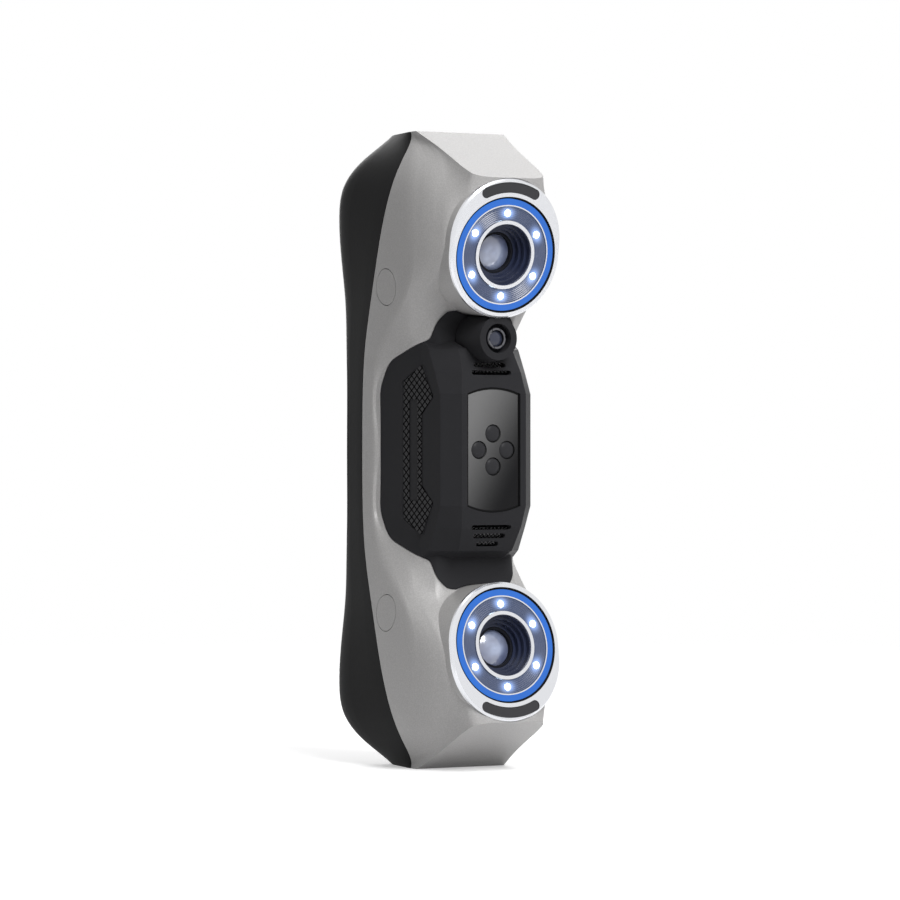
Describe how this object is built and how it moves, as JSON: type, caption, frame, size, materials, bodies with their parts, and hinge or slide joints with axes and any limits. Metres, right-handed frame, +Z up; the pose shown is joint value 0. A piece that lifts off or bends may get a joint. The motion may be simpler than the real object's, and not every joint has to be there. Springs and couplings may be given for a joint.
{
  "type": "hand-held three-d scanner",
  "caption": "Hand-held scanner with toed-in camera pods ringed by lamps, a central projector window, rear keys and a tripod socket; it measures the shape of objects.",
  "frame": {"origin": "middle of the box at the lower flat end that it stands on", "axes": "+Z up along the scanner's length, the lenses look towards -Y, the meshed side panel is at -X"},
  "size_m": [0.051, 0.0738, 0.206],
  "materials": {
    "rear_black": "fine moulded grain, matte",
    "grip_rubber": "textured rubber",
    "satin_silver": "satin metallic paint on a moulded shell",
    "bright_silver": "bright machined ring",
    "bezel_black": "fine moulded grain, matte",
    "mesh_black": "black mesh",
    "window_black": "glossy dark window",
    "cell_glass": "dark lens cells",
    "lens_glass": "coated lens glass",
    "clear_plastic": "clear ribbed plastic",
    "glow_blue": "lit blue light guide",
    "led_white": "lit white lamps",
    "gasket_black": "black rubber",
    "hood_black": "matte black anodised",
    "board_green": "circuit board",
    "chip_black": "moulded package",
    "bench_aluminium": "milled",
    "plain_steel": "plain",
    "socket_brass": "turned",
    "fan_black": "moulded",
    "button_grey": "soft-touch key"
  },
  "bodies": {
    "root": {"bench_screws": "plain_steel", "board_chips": "chip_black", "board_screws": "plain_steel", "bright_ring_lower": "bright_silver", "bright_ring_upper": "bright_silver", "button_board": "board_green", "button_switches": "chip_black", "camera_barrel_lower": "hood_black", "camera_barrel_upper": "hood_black", "camera_board_lower": "board_green", "camera_board_upper": "board_green", "camera_lens_lower": "lens_glass", "camera_lens_upper": "lens_glass", "cooling_fan": "fan_black", "front_bezel": "bezel_black", "front_housing": "satin_silver", "glow_ring_lower": "glow_blue", "glow_ring_upper": "glow_blue", "heat_sink": "bench_aluminium", "led_board_lower": "hood_black", "led_board_upper": "hood_black", "led_cover_lower": "clear_plastic", "led_cover_upper": "clear_plastic", "leds_lower": "led_white", "leds_upper": "led_white", "lens_hood_lower": "hood_black", "lens_hood_upper": "hood_black", "light_pipe": "clear_plastic", "main_board": "board_green", "mount_plate": "bezel_black", "optical_bench": "bench_aluminium", "pod_gasket_lower": "gasket_black", "pod_gasket_upper": "gasket_black", "pod_ring_lower": "bright_silver", "pod_ring_upper": "bright_silver", "pod_window_lower": "window_black", "pod_window_upper": "window_black", "projector_lenses": "cell_glass", "projector_module": "hood_black", "projector_window": "window_black", "rear_casing": "rear_black", "rear_grip": "grip_rubber", "rgb_barrel": "hood_black", "rgb_board": "board_green", "rgb_lens": "lens_glass", "side_grille_left": "mesh_black", "side_plugs": "satin_silver", "side_screws": "plain_steel", "trim_ring_lower": "bright_silver", "trim_ring_upper": "bright_silver", "tripod_bush": "socket_brass", "usb_port": "plain_steel", "vent_mesh_lower": "mesh_black", "vent_mesh_upper": "mesh_black"},
    "fan_rotor": {"fan_rotor": "fan_black"},
    "minus_button": {"minus_button": "button_grey"},
    "plus_button": {"plus_button": "button_grey"},
    "scan_button": {"scan_button": "button_grey"}
  },
  "joints": [
    {"name": "scan_button_press", "type": "slide", "parent": "root", "child": "scan_button", "axis": [0, -1, 0], "range_m": [0, 0.0008], "stiffness_N_per_m": 900, "springref_m": -0.001},
    {"name": "plus_button_press", "type": "slide", "parent": "root", "child": "plus_button", "axis": [0, -1, 0], "range_m": [0, 0.0008], "stiffness_N_per_m": 900, "springref_m": -0.001},
    {"name": "minus_button_press", "type": "slide", "parent": "root", "child": "minus_button", "axis": [0, -1, 0], "range_m": [0, 0.0008], "stiffness_N_per_m": 900, "springref_m": -0.001},
    {"name": "fan_spin", "type": "hinge", "parent": "root", "child": "fan_rotor", "pos_m": [0, 0.00892, 0.103], "axis": [0, -1, 0], "continuous": true}
  ]
}
